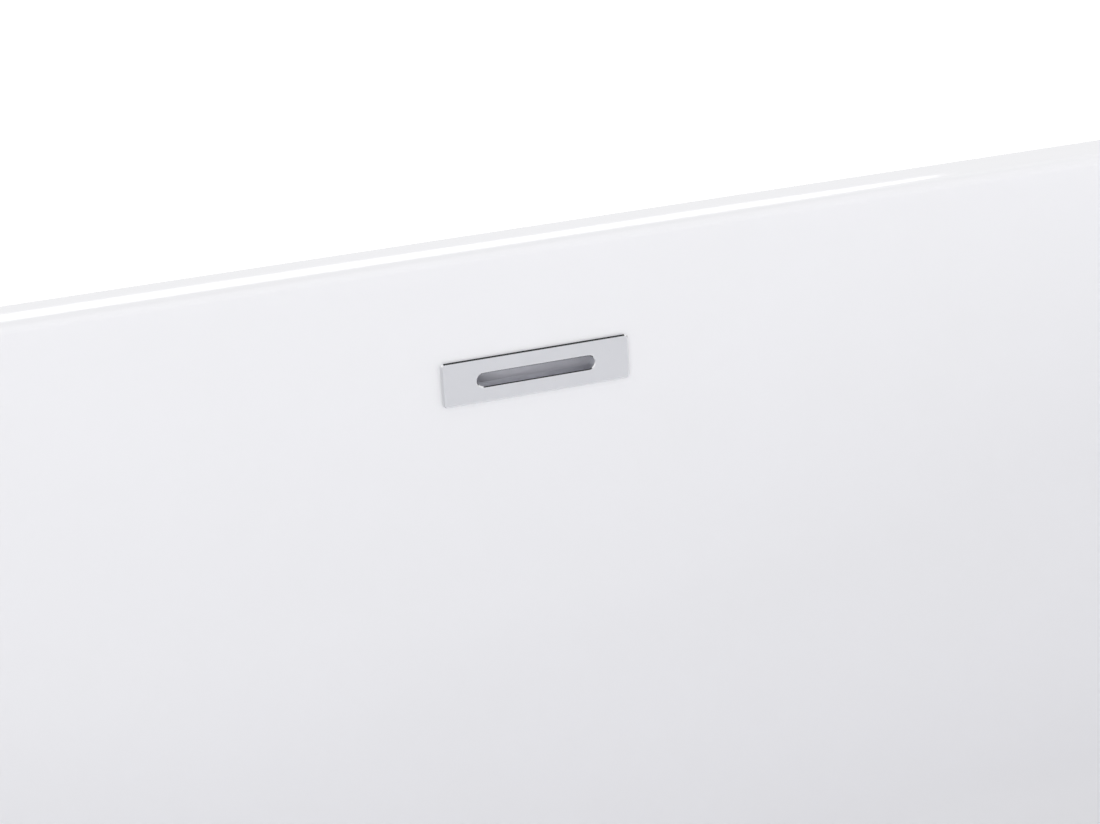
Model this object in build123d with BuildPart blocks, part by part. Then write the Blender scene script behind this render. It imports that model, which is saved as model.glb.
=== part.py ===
from build123d import *
import os
from math import cos, radians, sin, tan

# A bath whose one long side stands against a wall. All sizes are in millimetres. The
# origin is on the floor under the middle of the rim's outline. X runs along the wall,
# Y runs towards the wall, which is the plane y = width / 2, and Z is up.

# Overall size: along the wall, out from the wall and up to the rim's top
length = 1700
width = 800
height = 580

# Rim: corners of its outline at the wall and at the room, its width seen from above,
# the depth of its turned-down lip and the rounding of its two top edges
wall_corner = 12
room_corner = 380
rim_width = 24
lip_drop = 12
rim_round = 6

# Basin: sheet thickness, height of its floor above the ground, lean of its long and end
# walls from upright in degrees, its plan corners at the rim and at the floor, the
# rounding between walls and floor, and the floor's fall to a level disc round the waste
sheet = 5
floor_z = 150
long_lean = 9.2
end_lean = 26
rim_wall_corner = 160
floor_wall_corner = 120
floor_room_corner = 240
floor_round = 90
floor_fall = 4
fall_margin = 15
fall_wall_corner = 60
fall_room_corner = 120
level_disc = 100

# Reinforcing layer under the basin, the board below it and the stiffener at the wall
bond_gap = 0.3
backing = 4
backing_drop = 35
backing_window_side = 6
backing_window_above = 22
backing_window_below = 62
board_thick = 18
board_margin = 14
board_corner = 60
board_waste_hole = 92
batten_thick = 12
batten_gap = 1
batten_deep = 30
batten_end = 150

# Outer skirt: how far its foot stands in from the rim, its gap to the floor, the
# inward flange at its foot and the width of the two returns that lie on the wall
skirt = 5
skirt_inset = 60
skirt_gap = 5
skirt_flange = 25
return_width = 45

# Rails under the board: square tube, caps in its ends
rail_size = 30
rail_wall = 2
rail_from_board_end = 110
rail_past_foot = 45
cap_plate = 3
cap_plug = 8
cap_gap = 0.2

# Feet: distance from the skirt's foot line, M12 studs that turn in nuts under the
# rails, and round pads
foot_from_skirt = 60
stud_radius = 6
stud_top = 142
stud_chamfer = 1
running_gap = 0.05
rail_hole_gap = 0.5
weld_nut_high = 10
lock_nut_high = 6
nut_across = 19
pad_radius = 25
pad_plate = 10
pad_round = 3
hub_radius = 12
hub_top = 18
ball_radius = 7
pad_floor = 6
spanner_gap = 0.4
spanner_high = 8

# Screws and bolts
board_screw_radius = 2.5
board_screw_head = 5
board_screw_head_high = 3
board_screw_bite = 12
board_screw_access = 6
board_screw_near = 60
board_screw_far = 180
bracket_bolt_radius = 3
bracket_bolt_across = 10
bracket_bolt_head = 4
bracket_bolt_long = 8

# Angles that hold the skirt at the front ends of the rails
angle_thick = 2.5
angle_wide = 40
angle_leg = 50
angle_bolt_in = 14
angle_gap = 0.2

# Brackets that fix the rim to the wall, and their screws into the stiffener
bracket_thick = 2.5
bracket_wide = 40
bracket_from_end = 330
bracket_tab = 21
bracket_step = 6
bracket_wall_tab = 36
bracket_hole = 3
bracket_hole_up = 14
bracket_screw_radius = 2
bracket_screw_head = 4
bracket_screw_head_high = 1.8
bracket_screw_bite = 9
bracket_screw_spread = 12

# Overflow: depth of its centre under the rim, plate, slot, collar and studs
overflow_drop = 66
plate_long = 100
plate_high = 24
plate_thick = 2
plate_corner = 2
plate_chamfer = 0.7
slot_long = 63
slot_high = 7
slot_chamfer = 0.5
collar_wall = 1.2
collar_deep = 4.8
collar_clear = 0.8
stud_from_plate_end = 6
cover_stud_radius = 2
cover_stud_long = 21
cover_stud_clear = 0.3
cover_seal_thick = 0.5
cover_seal_inset = 2

# Overflow body behind the wall: gasket, flange, flat chamber, sump and pipe socket
body_gasket = 2
body_flange = 3
body_up = 15
body_down = 28
body_corner = 8
mouth_inset = 2
mouth_high = 14
body_wall = 2
chamber_from_washer = 0.5
chamber_up = 7
chamber_down = 24
chamber_deep = 5
sump_half_long = 10.5
sump_top = 16
sump_bottom = 30
sump_deep = 21
pipe_in_wall = 22.5
socket_top = 28
socket_bottom = 52
socket_stop = 34
cover_nut_high = 3.2
cover_nut_across = 7
cover_washer_thick = 0.8
cover_washer_radius = 4.5

# Overflow pipe and its two joints
pipe_radius = 12
pipe_wall = 1.5
pipe_fit = 0.2
pipe_bend = 60
pipe_level = 96
collar_ring_thick = 3
collar_ring_wide = 15
pipe_end = 42
inlet_end = 62
inlet_radius = 15
inlet_nut_radius = 20
inlet_nut_long = 22
inlet_nut_lip = 2
inlet_seal_long = 2

# Waste: flange and its seat, threaded tail, spider that carries the click sleeve
waste_seal_thick = 0.5
waste_seal_inset = 1
flange_radius = 35
flange_edge = 1.2
flange_thick = 2.4
flange_seat_radius = 26
throat_radius = 20.5
tail_radius = 23.5
tail_gap = 0.1
hole_clear = 1
tail_long = 26
spider_drop = 5
spider_high = 12
spider_arm = 4
spider_hub = 10
sleeve_radius = 8
sleeve_wall = 1.5
sleeve_long = 30
sleeve_floor = 2
sleeve_drain = 2
click_ring = 2
spring_wire = 0.8
spring_radius = 4.6
spring_turns = 6

# Plug: cap, seal under it and stem with its piston
plug_radius = 32.5
plug_edge = 2
plug_dome = 4
dome_share = 0.75
plug_round = 1
plug_over_flange = 0.6
plug_seal_radius = 24
plug_seal_inner = 17
plug_seal_bend = 19.5
plug_seal_thick = 3.2
stem_radius = 3
piston_thick = 3
spring_clear = 0.1
plug_lift = 9

# Waste body below the floor
body_seal_thick = 3
body_rim_radius = 34
body_rim_thick = 3
barrel_wall = 4
barrel_long = 13
neck_radius = 25
waste_bottom = 66
waste_thread_top = 80
waste_thread_radius = 23.5
waste_bore = 20.5

# Trap: union nut, bowl with dip tube, screwed bottom cap and outlet arm
nut_radius = 31
trap_nut_top = 79
trap_seal_thick = 1.5
trap_flange_thick = 2.5
trap_flange_radius = 23
trap_nut_lip = 2.5
dip_radius = 21
dip_wall = 2
dip_end = 20
bowl_radius = 48
bowl_wall = 2.5
bowl_top = 58
bowl_bottom = 11
bowl_round = 5
cap_thick = 4
cap_wall = 3
cap_seal_thick = 2
cap_top = 16.5
arm_level = 37
arm_start = 40
arm_end = 76
outlet_radius = 20
outlet_wall = 2
outlet_nut_radius = 27
outlet_nut_start = 60
outlet_nut_end = 84
outlet_seal_thick = 2

# Outlet: rising bend, coupling sleeve and pipe to the wall
outlet_level = 78
rise_start = 112
rise_end = 147
outlet_place = 212
rise_round = 38
bend_end = 95
coupling_wall = 3
coupling_long = 50
coupling_fit = 0.15
spigot_ease = 0.6
pipe_gap = 2
outlet_wall_gap = 12

# Grip flutes round the plastic nuts, counts of flutes, spider arms and nut sides
flute = 1.5
small_flute = 1
nut_flute_count = 12
small_nut_flute_count = 10
cap_flute_count = 16
spider_arm_count = 3
nut_side_count = 6

# Degrees in a right angle
right_angle = 90

# How far a cut runs past the face it starts from, and how blocks are aligned
over = 1
from_base = (Align.CENTER, Align.CENTER, Align.MIN)
from_top = (Align.CENTER, Align.CENTER, Align.MAX)

# Places worked out from the sizes above
wall_y = width / 2
half_length = length / 2
rim_room_corner = room_corner - rim_width
depth = height - floor_z
waste_z = floor_z - floor_fall
underside_z = waste_z - sheet
backing_z = underside_z - backing
board_z = backing_z - board_thick
rail_z = board_z - rail_size
lip_z = height - lip_drop

os.makedirs("parts", exist_ok=True)


def keep(piece, name):
    """Label a finished piece and write it."""
    piece.part.label = name
    export_step(piece.part, f"parts/{name}.step")


def plan(half_x, rear_y, front_y, wall_radius, room_radius, z):
    """Outline of the bath at height z: square at the wall, rounder at the room."""
    with BuildSketch(Plane.XY.offset(z)) as outline:
        with Locations((0, (rear_y + front_y) / 2)):
            Rectangle(2 * half_x, rear_y - front_y)
        fillet(outline.vertices().group_by(Axis.Y)[-1], wall_radius)
        fillet(outline.vertices().group_by(Axis.Y)[0], room_radius)
    return outline.sketch


def basin_half(z, grow=0):
    """Half sizes along X and Y of the basin's wall at z, moved out square by grow."""
    down = height - z
    half_x = half_length - rim_width - down * tan(radians(end_lean)) + grow / cos(radians(end_lean))
    half_y = wall_y - rim_width - down * tan(radians(long_lean)) + grow / cos(radians(long_lean))
    return half_x, half_y


def basin_plan(z, grow=0):
    """Outline of the basin's wall at height z, moved out square to the wall by grow."""
    share = (height - z) / depth
    half_x, half_y = basin_half(z, grow)
    wall_radius = rim_wall_corner + (floor_wall_corner - rim_wall_corner) * share + grow
    room_radius = rim_room_corner + (floor_room_corner - rim_room_corner) * share + grow
    return plan(half_x, half_y, -half_y, wall_radius, room_radius, z)


def basin_form(grow, top_z, bottom_z):
    """Solid inside the basin's wall, moved out by grow, with its floor at bottom_z."""
    with BuildPart() as form:
        loft([basin_plan(top_z, grow), basin_plan(bottom_z, grow)], ruled=True)
        fillet(form.faces().sort_by(Axis.Z)[0].edges(), floor_round + grow)
    return form.part


def skirt_plan(z, inset=0):
    """Outline of the skirt at height z. The wall side stays upright, the rest leans in."""
    lean_in = skirt_inset * (lip_z - z) / (lip_z - skirt_gap) + inset
    return plan(
        half_length - lean_in,
        wall_y - inset,
        lean_in - wall_y,
        max(wall_corner - inset, over),
        room_corner - lean_in,
        z,
    )


def flat_half(grow):
    """Half sizes of the level field under a basin form, inside its rounding."""
    half_x, half_y = basin_half(backing_z, grow)
    round_x = (floor_round + grow) / tan(radians((right_angle + end_lean) / 2))
    round_y = (floor_round + grow) / tan(radians((right_angle + long_lean) / 2))
    return half_x - round_x, half_y - round_y


# The overflow's own frame on the basin's wall: x along the wall, y up it and z square
# out of it into the basin
overflow_z = height - overflow_drop
overflow_y = basin_half(overflow_z)[1]
lean_sin, lean_cos = sin(radians(long_lean)), cos(radians(long_lean))
overflow = Plane((0, overflow_y, overflow_z), x_dir=(1, 0, 0), z_dir=(0, -lean_cos, lean_sin))


def overflow_at(along, up, out):
    """Point of the overflow's frame."""
    return overflow.from_local_coords((along, up, out))


# Basin: the leaning walls and rounded floor with the rim and lip on top, the fall to
# the waste, and the holes for waste and overflow
basin_hollow = basin_form(0, height + over, floor_z)
basin_outside = basin_form(sheet, height - over, underside_z)
fall_x, fall_y = (half - fall_margin for half in flat_half(0))
level_half = level_disc / 2
level_corner = level_half - over
collar_room = 2 * (collar_wall + collar_clear)
stud_spread = plate_long / 2 - stud_from_plate_end
stud_spots = [(-stud_spread, 0), (stud_spread, 0)]
stud_hole = cover_stud_radius + cover_stud_clear
rim_outline = plan(half_length, wall_y, -wall_y, wall_corner, room_corner, lip_z)
pocket_outline = plan(
    half_length - sheet, wall_y - sheet, sheet - wall_y, wall_corner - sheet, room_corner - sheet, lip_z
)

with BuildPart() as basin_shell:
    extrude(rim_outline, amount=lip_drop)
    extrude(pocket_outline, amount=lip_drop - sheet, mode=Mode.SUBTRACT)
    add(basin_outside)
    add(basin_hollow, mode=Mode.SUBTRACT)
    loft(
        [
            plan(fall_x, fall_y, -fall_y, fall_wall_corner, fall_room_corner, floor_z),
            plan(level_half, level_half, -level_half, level_corner, level_corner, waste_z),
        ],
        ruled=True,
        mode=Mode.SUBTRACT,
    )
    fillet(basin_shell.faces().sort_by(Axis.Z)[-1].edges(), rim_round)
    with Locations((0, 0, waste_z + over)):
        Cylinder(tail_radius + hole_clear, sheet + 2 * over, align=from_top, mode=Mode.SUBTRACT)
    with BuildSketch(overflow):
        SlotOverall(slot_long + collar_room, slot_high + collar_room)
        with Locations(*stud_spots):
            Circle(stud_hole)
    extrude(amount=sheet + over, both=True, mode=Mode.SUBTRACT)
keep(basin_shell, "basin_shell")

# Reinforcing layer bonded under the basin, open round the overflow and the waste
backing_top = height - backing_drop
backing_in = sheet + bond_gap
body_half_long = plate_long / 2
backing_outside = basin_form(backing_in + backing, backing_top, backing_z)
backing_hollow = basin_form(backing_in, backing_top + over, underside_z)

with BuildPart() as glassfibre_backing:
    add(backing_outside)
    add(backing_hollow, mode=Mode.SUBTRACT)
    with Locations((0, 0, underside_z + over)):
        Cylinder(tail_radius + hole_clear, backing + 2 * over, align=from_top, mode=Mode.SUBTRACT)
    with BuildSketch(overflow):
        with Locations((0, (backing_window_above - backing_window_below) / 2)):
            Rectangle(
                2 * (body_half_long + backing_window_side), backing_window_above + backing_window_below
            )
    extrude(amount=-(backing_in + 2 * backing), mode=Mode.SUBTRACT)
keep(glassfibre_backing, "glassfibre_backing")

# Board under the level field of the floor, with a round opening for the waste and
# pilot holes for the rail screws
board_x, board_y = (half - board_margin for half in flat_half(backing_in + backing))
rail_x = board_x - rail_from_board_end
screw_ys = [side * y for y in (board_screw_near, board_screw_far) for side in (-1, 1)]
screw_places = [(side * rail_x, y) for side in (-1, 1) for y in screw_ys]

with BuildPart() as base_board:
    with BuildSketch(Plane.XY.offset(board_z)):
        RectangleRounded(2 * board_x, 2 * board_y, board_corner)
        Circle(board_waste_hole / 2, mode=Mode.SUBTRACT)
    extrude(amount=board_thick)
    with BuildSketch(Plane.XY.offset(board_z)):
        with Locations(*screw_places):
            Circle(board_screw_radius)
    extrude(amount=board_screw_bite, mode=Mode.SUBTRACT)
keep(base_board, "base_board")

# Stiffener bonded into the pocket under the rim on the wall side
batten_rear = wall_y - sheet - batten_gap
batten_front = batten_rear - batten_thick
batten_top = height - sheet
bracket_place = half_length - bracket_from_end

screw_z = batten_top - batten_deep + bracket_tab / 2
screw_shifts = (-bracket_screw_spread, bracket_screw_spread)
screw_spots = [
    (place + shift, screw_z) for place in (-bracket_place, bracket_place) for shift in screw_shifts
]

with BuildPart() as rim_batten:
    with Locations((0, (batten_front + batten_rear) / 2, batten_top)):
        Box(length - 2 * batten_end, batten_thick, batten_deep, align=from_top)
    with BuildSketch(Plane.XZ.offset(-batten_rear)):
        with Locations(*screw_spots):
            Circle(bracket_screw_radius)
    extrude(amount=bracket_screw_bite, mode=Mode.SUBTRACT)
keep(rim_batten, "rim_batten")

# Wall brackets: an upper tab on the stiffener and a lower tab in the plane of the wall
tab_low = batten_top - batten_deep
tab_top = tab_low + bracket_tab
step_low = tab_low - bracket_step
wall_tab_low = step_low - bracket_wall_tab

for side, place in (("left", -bracket_place), ("right", bracket_place)):
    with BuildPart() as wall_bracket:
        with BuildSketch(Plane.YZ.offset(place)):
            with BuildLine():
                Polyline(
                    (batten_rear, tab_top),
                    (batten_rear + bracket_thick, tab_top),
                    (batten_rear + bracket_thick, tab_low),
                    (wall_y, step_low),
                    (wall_y, wall_tab_low),
                    (wall_y - bracket_thick, wall_tab_low),
                    (wall_y - bracket_thick, step_low),
                    (batten_rear, tab_low),
                    close=True,
                )
            make_face()
        extrude(amount=bracket_wide / 2, both=True)
        with BuildSketch(Plane.XZ.offset(-wall_y)):
            with Locations((place, wall_tab_low + bracket_hole_up)):
                Circle(bracket_hole)
            with Locations(*[(place + shift, screw_z) for shift in screw_shifts]):
                Circle(bracket_screw_radius)
        extrude(amount=2 * bracket_thick + over, mode=Mode.SUBTRACT)
    keep(wall_bracket, f"wall_bracket_{side}")

with BuildPart() as wall_bracket_screws:
    with BuildSketch(Plane.XZ.offset(-batten_rear - bracket_thick)):
        with Locations(*screw_spots):
            Circle(bracket_screw_radius)
    extrude(amount=bracket_thick + bracket_screw_bite)
    with BuildSketch(Plane.XZ.offset(-batten_rear - bracket_thick)):
        with Locations(*screw_spots):
            Circle(bracket_screw_head)
    extrude(amount=-bracket_screw_head_high)
keep(wall_bracket_screws, "wall_bracket_screws")

# Outer skirt: thin leaning walls with a foot flange, open on the wall side between two
# returns that follow the lean of the ends
skirt_outside = loft([skirt_plan(lip_z), skirt_plan(skirt_gap)], ruled=True)
skirt_inside = loft(
    [skirt_plan(lip_z + over, skirt), skirt_plan(skirt_gap + skirt, skirt)], ruled=True
)
window_top = half_length - return_width
window_foot = window_top - skirt_inset

with BuildPart() as outer_skirt:
    add(skirt_outside)
    add(skirt_inside, mode=Mode.SUBTRACT)
    with BuildSketch(Plane.XY.offset(skirt_gap)):
        add(skirt_plan(skirt_gap, skirt_flange + skirt))
    extrude(amount=skirt + over, mode=Mode.SUBTRACT)
    with BuildSketch(Plane.XZ.offset(-wall_y)):
        with BuildLine():
            Polyline(
                (-window_foot, skirt_gap),
                (window_foot, skirt_gap),
                (window_top, lip_z),
                (-window_top, lip_z),
                close=True,
            )
        make_face()
    extrude(amount=skirt_flange + 2 * skirt, mode=Mode.SUBTRACT)
keep(outer_skirt, "outer_skirt")

# Rails: square tubes across the bath, drilled for the foot studs and the board screws
foot_y = wall_y - skirt_inset - foot_from_skirt
rail_end = foot_y + rail_past_foot
rail_bore = rail_size - 2 * rail_wall

for side, place in (("left", -rail_x), ("right", rail_x)):
    with BuildPart() as cross_rail:
        with BuildSketch(Plane.XZ):
            with Locations((place, rail_z + rail_size / 2)):
                Rectangle(rail_size, rail_size)
                Rectangle(rail_bore, rail_bore, mode=Mode.SUBTRACT)
        extrude(amount=rail_end, both=True)
        with BuildSketch(Plane.XY.offset(rail_z)):
            with Locations((place, -foot_y), (place, foot_y)):
                Circle(stud_radius + rail_hole_gap)
            with Locations(*[(place, y) for y in screw_ys]):
                Circle(board_screw_radius)
        extrude(amount=rail_size, mode=Mode.SUBTRACT)
        with BuildSketch(Plane.XY.offset(rail_z)):
            with Locations(*[(place, y) for y in screw_ys]):
                Circle(board_screw_access)
        extrude(amount=rail_wall, mode=Mode.SUBTRACT)
        with BuildSketch(Plane.XY.offset(rail_z + rail_size)):
            with Locations((place, angle_bolt_in - rail_end)):
                Circle(bracket_bolt_radius)
        extrude(amount=-rail_wall, mode=Mode.SUBTRACT)
    keep(cross_rail, f"cross_rail_{side}")

# Plastic caps in the rails' ends
with BuildPart() as rail_end_caps:
    for end in (-1, 1):
        plate_plane = Plane.XZ.offset(end * rail_end)
        spots = [(side * rail_x, rail_z + rail_size / 2) for side in (-1, 1)]
        with BuildSketch(plate_plane):
            with Locations(*spots):
                RectangleRounded(rail_size, rail_size, rail_wall)
        extrude(amount=end * cap_plate)
        with BuildSketch(plate_plane):
            with Locations(*spots):
                Rectangle(rail_bore - 2 * cap_gap, rail_bore - 2 * cap_gap)
        extrude(amount=-end * cap_plug)
keep(rail_end_caps, "rail_end_caps")

# Screws that hold the rails to the board
rail_inside_z = board_z - rail_wall

with BuildPart() as board_screws:
    with BuildSketch(Plane.XY.offset(rail_inside_z)):
        with Locations(*screw_places):
            Circle(board_screw_radius)
    extrude(amount=rail_wall + board_screw_bite)
    with BuildSketch(Plane.XY.offset(rail_inside_z)):
        with Locations(*screw_places):
            RegularPolygon(board_screw_head, nut_side_count)
    extrude(amount=-board_screw_head_high)
keep(board_screws, "board_screws")

# Angles from the rails' front ends up the inside of the skirt
skirt_slope = skirt_inset / (lip_z - skirt_gap)


def skirt_face(z, off=0):
    """Y of the skirt's inner face at the front at height z, moved inwards by off."""
    return (lip_z - z) * skirt_slope + skirt + off - wall_y


leg_top = board_z + angle_leg
leg_low = board_z + angle_thick
angle_end = 2 * angle_bolt_in - rail_end
angle_spots = [(side * rail_x, angle_bolt_in - rail_end) for side in (-1, 1)]

for side, place in (("left", -rail_x), ("right", rail_x)):
    with BuildPart() as skirt_bracket:
        with BuildSketch(Plane.YZ.offset(place)):
            with BuildLine():
                Polyline(
                    (angle_end, board_z),
                    (skirt_face(board_z, angle_gap), board_z),
                    (skirt_face(leg_top, angle_gap), leg_top),
                    (skirt_face(leg_top, angle_gap + angle_thick), leg_top),
                    (skirt_face(leg_low, angle_gap + angle_thick), leg_low),
                    (angle_end, leg_low),
                    close=True,
                )
            make_face()
        extrude(amount=angle_wide / 2, both=True)
        with BuildSketch(Plane.XY.offset(board_z)):
            with Locations((place, angle_bolt_in - rail_end)):
                Circle(bracket_bolt_radius)
        extrude(amount=angle_thick, mode=Mode.SUBTRACT)
    keep(skirt_bracket, f"skirt_bracket_{side}")

with BuildPart() as skirt_bracket_bolts:
    with BuildSketch(Plane.XY.offset(leg_low)):
        with Locations(*angle_spots):
            RegularPolygon(bracket_bolt_across / 2, nut_side_count, major_radius=False)
    extrude(amount=bracket_bolt_head)
    with BuildSketch(Plane.XY.offset(leg_low)):
        with Locations(*angle_spots):
            Circle(bracket_bolt_radius)
    extrude(amount=-bracket_bolt_long)
keep(skirt_bracket_bolts, "skirt_bracket_bolts")

# Nuts under the rails: one welded on and one locked against it at each foot
foot_places = {
    "front_left": (-rail_x, -foot_y),
    "front_right": (rail_x, -foot_y),
    "rear_left": (-rail_x, foot_y),
    "rear_right": (rail_x, foot_y),
}
weld_nut_z = rail_z - weld_nut_high
lock_nut_z = weld_nut_z - lock_nut_high

with BuildPart() as weld_nuts:
    with BuildSketch(Plane.XY.offset(weld_nut_z)):
        with Locations(*foot_places.values()):
            RegularPolygon(nut_across / 2, nut_side_count, major_radius=False)
            Circle(stud_radius + running_gap, mode=Mode.SUBTRACT)
    extrude(amount=weld_nut_high)
keep(weld_nuts, "weld_nuts")

with BuildPart() as lock_nuts:
    with BuildSketch(Plane.XY.offset(lock_nut_z)):
        with Locations(*foot_places.values()):
            RegularPolygon(nut_across / 2, nut_side_count, major_radius=False)
            Circle(stud_radius + running_gap, mode=Mode.SUBTRACT)
    extrude(amount=lock_nut_high)
keep(lock_nuts, "lock_nuts")

# Feet: a pad with a hub, and a stud that turns in the hub and has a spanner hexagon
spanner_z = hub_top + spanner_gap

for corner, (foot_x, this_y) in foot_places.items():
    with BuildPart() as foot_pad:
        with Locations((foot_x, this_y, 0)):
            Cylinder(pad_radius, pad_plate, align=from_base)
        fillet(foot_pad.edges().filter_by(GeomType.CIRCLE).sort_by(Axis.Z)[-1], pad_round)
        with Locations((foot_x, this_y, 0)):
            Cylinder(hub_radius, hub_top, align=from_base)
        with Locations((foot_x, this_y, pad_floor)):
            Cylinder(ball_radius + running_gap, hub_top, align=from_base, mode=Mode.SUBTRACT)
    keep(foot_pad, f"foot_pad_{corner}")

    with BuildPart() as foot_stud:
        with Locations((foot_x, this_y, pad_floor)):
            Cylinder(ball_radius, spanner_z - pad_floor, align=from_base)
        with BuildSketch(Plane.XY.offset(spanner_z)):
            with Locations((foot_x, this_y)):
                RegularPolygon(nut_across / 2, nut_side_count, major_radius=False)
        extrude(amount=spanner_high)
        with Locations((foot_x, this_y, spanner_z)):
            Cylinder(stud_radius, stud_top - spanner_z, align=from_base)
        chamfer(foot_stud.edges().filter_by(GeomType.CIRCLE).sort_by(Axis.Z)[-1], stud_chamfer)
    keep(foot_stud, f"foot_stud_{corner}")

# Overflow cover: plate with chamfered edges, slot, collar through the wall, two studs
plate_back = overflow.offset(cover_seal_thick)
plate_face = overflow.offset(cover_seal_thick + plate_thick)

out_of_wall = Axis(overflow.origin, overflow.z_dir)

with BuildPart() as overflow_cover:
    with BuildSketch(plate_back):
        RectangleRounded(plate_long, plate_high, plate_corner)
    extrude(amount=plate_thick)
    chamfer(overflow_cover.faces().sort_by(out_of_wall)[-1].edges(), plate_chamfer)
    with BuildSketch(plate_back):
        SlotOverall(slot_long + 2 * collar_wall, slot_high + 2 * collar_wall)
        with Locations(*stud_spots):
            Circle(cover_stud_radius)
    extrude(amount=-collar_deep)
    with BuildSketch(plate_back):
        with Locations(*stud_spots):
            Circle(cover_stud_radius)
    extrude(amount=-cover_stud_long)
    with BuildSketch(plate_face):
        SlotOverall(slot_long, slot_high)
    extrude(amount=-(plate_thick + collar_deep), mode=Mode.SUBTRACT)
    slot_edge = overflow_cover.faces().sort_by(out_of_wall)[-1].inner_wires()[0]
    chamfer(slot_edge.edges(), slot_chamfer)
keep(overflow_cover, "overflow_cover")

# Thin seal between plate and basin
with BuildPart() as overflow_cover_seal:
    with BuildSketch(overflow):
        RectangleRounded(plate_long - 2 * cover_seal_inset, plate_high - 2 * cover_seal_inset, plate_corner)
        SlotOverall(slot_long + collar_room, slot_high + collar_room, mode=Mode.SUBTRACT)
        with Locations(*stud_spots):
            Circle(stud_hole, mode=Mode.SUBTRACT)
    extrude(amount=cover_seal_thick)
keep(overflow_cover_seal, "overflow_cover_seal")

# Overflow body behind the wall: gasket, flange with the mouth, flat chamber, deeper
# sump in the middle and the pipe's socket, which follows the lean of the wall
wall_back = overflow.offset(-sheet)
gasket_back = wall_back.offset(-body_gasket)
flange_back = gasket_back.offset(-body_flange)
body_centre = (body_up - body_down) / 2
chamber_half_long = stud_spread - cover_washer_radius - chamber_from_washer - body_wall
mouth_long = 2 * (chamber_half_long - mouth_inset)


def local_box(plane, half_long, bottom, top, deep):
    """Block behind a plane of the overflow's frame, from bottom to top."""
    with BuildPart() as block:
        with BuildSketch(plane):
            with Locations((0, (bottom + top) / 2)):
                Rectangle(2 * half_long, top - bottom)
        extrude(amount=-deep)
    return block.part


def down_the_wall(up, out):
    """Plane across the overflow pipe at a height of the overflow's frame."""
    return Plane(overflow_at(0, up, out), x_dir=(1, 0, 0), z_dir=-overflow.y_dir)


with BuildPart() as overflow_body_gasket:
    with BuildSketch(wall_back):
        with Locations((0, body_centre)):
            RectangleRounded(2 * body_half_long, body_up + body_down, body_corner)
        SlotOverall(mouth_long, mouth_high, mode=Mode.SUBTRACT)
        with Locations(*stud_spots):
            Circle(stud_hole, mode=Mode.SUBTRACT)
    extrude(amount=-body_gasket)
keep(overflow_body_gasket, "overflow_body_gasket")

pipe_run = down_the_wall(-socket_top, -pipe_in_wall)
socket_long = socket_bottom - socket_top
socket_bore = pipe_radius + pipe_fit
duct_radius = pipe_radius - pipe_wall

with BuildPart() as overflow_body:
    with BuildSketch(gasket_back):
        with Locations((0, body_centre)):
            RectangleRounded(2 * body_half_long, body_up + body_down, body_corner)
    extrude(amount=-body_flange)
    add(
        local_box(
            flange_back,
            chamber_half_long + body_wall,
            -chamber_down - body_wall,
            chamber_up + body_wall,
            chamber_deep + body_wall,
        )
    )
    add(
        local_box(
            flange_back,
            sump_half_long + body_wall,
            -sump_bottom - body_wall,
            -sump_top + body_wall,
            sump_deep + body_wall,
        )
    )
    with Locations(pipe_run):
        Cylinder(socket_bore + body_wall, socket_long, align=from_base)
    add(
        local_box(flange_back, chamber_half_long, -chamber_down, chamber_up, chamber_deep),
        mode=Mode.SUBTRACT,
    )
    add(
        local_box(flange_back, sump_half_long, -sump_bottom, -sump_top, sump_deep),
        mode=Mode.SUBTRACT,
    )
    with Locations(pipe_run.offset(-body_wall)):
        Cylinder(duct_radius, socket_long + body_wall, align=from_base, mode=Mode.SUBTRACT)
    with Locations(down_the_wall(-socket_stop, -pipe_in_wall)):
        Cylinder(socket_bore, socket_long, align=from_base, mode=Mode.SUBTRACT)
    with BuildSketch(gasket_back):
        SlotOverall(mouth_long, mouth_high)
        with Locations(*stud_spots):
            Circle(stud_hole)
    extrude(amount=-body_flange, mode=Mode.SUBTRACT)
keep(overflow_body, "overflow_body")

# Washers and nuts on the cover's studs
with BuildPart() as overflow_stud_nuts:
    with BuildSketch(flange_back):
        with Locations(*stud_spots):
            Circle(cover_washer_radius)
            Circle(cover_stud_radius, mode=Mode.SUBTRACT)
    extrude(amount=-cover_washer_thick)
    with BuildSketch(flange_back.offset(-cover_washer_thick)):
        with Locations(*stud_spots):
            RegularPolygon(cover_nut_across / 2, nut_side_count, major_radius=False)
            Circle(cover_stud_radius, mode=Mode.SUBTRACT)
    extrude(amount=-cover_nut_high)
keep(overflow_stud_nuts, "overflow_stud_nuts")

# Overflow pipe: down behind the basin along its lean, then one bend to the waste
pipe_start = overflow_at(0, -socket_stop, -pipe_in_wall)
fall_to_level = (pipe_start.Z - pipe_level) * lean_sin / lean_cos
pipe_corner = (0, pipe_start.Y - fall_to_level, pipe_level)

with BuildPart() as overflow_pipe:
    with BuildLine() as pipe_path:
        FilletPolyline(pipe_start, pipe_corner, (0, pipe_end, pipe_level), radius=pipe_bend)
    with BuildSketch(down_the_wall(-socket_stop, -pipe_in_wall)):
        Circle(pipe_radius)
        Circle(pipe_radius - pipe_wall, mode=Mode.SUBTRACT)
    sweep(path=pipe_path.line)
keep(overflow_pipe, "overflow_pipe")

# Rubber collar where the pipe leaves its socket
with BuildPart() as overflow_pipe_collar:
    with BuildSketch(down_the_wall(-socket_bottom, -pipe_in_wall)):
        Circle(collar_ring_wide)
        Circle(pipe_radius + running_gap, mode=Mode.SUBTRACT)
    extrude(amount=collar_ring_thick)
keep(overflow_pipe_collar, "overflow_pipe_collar")

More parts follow.
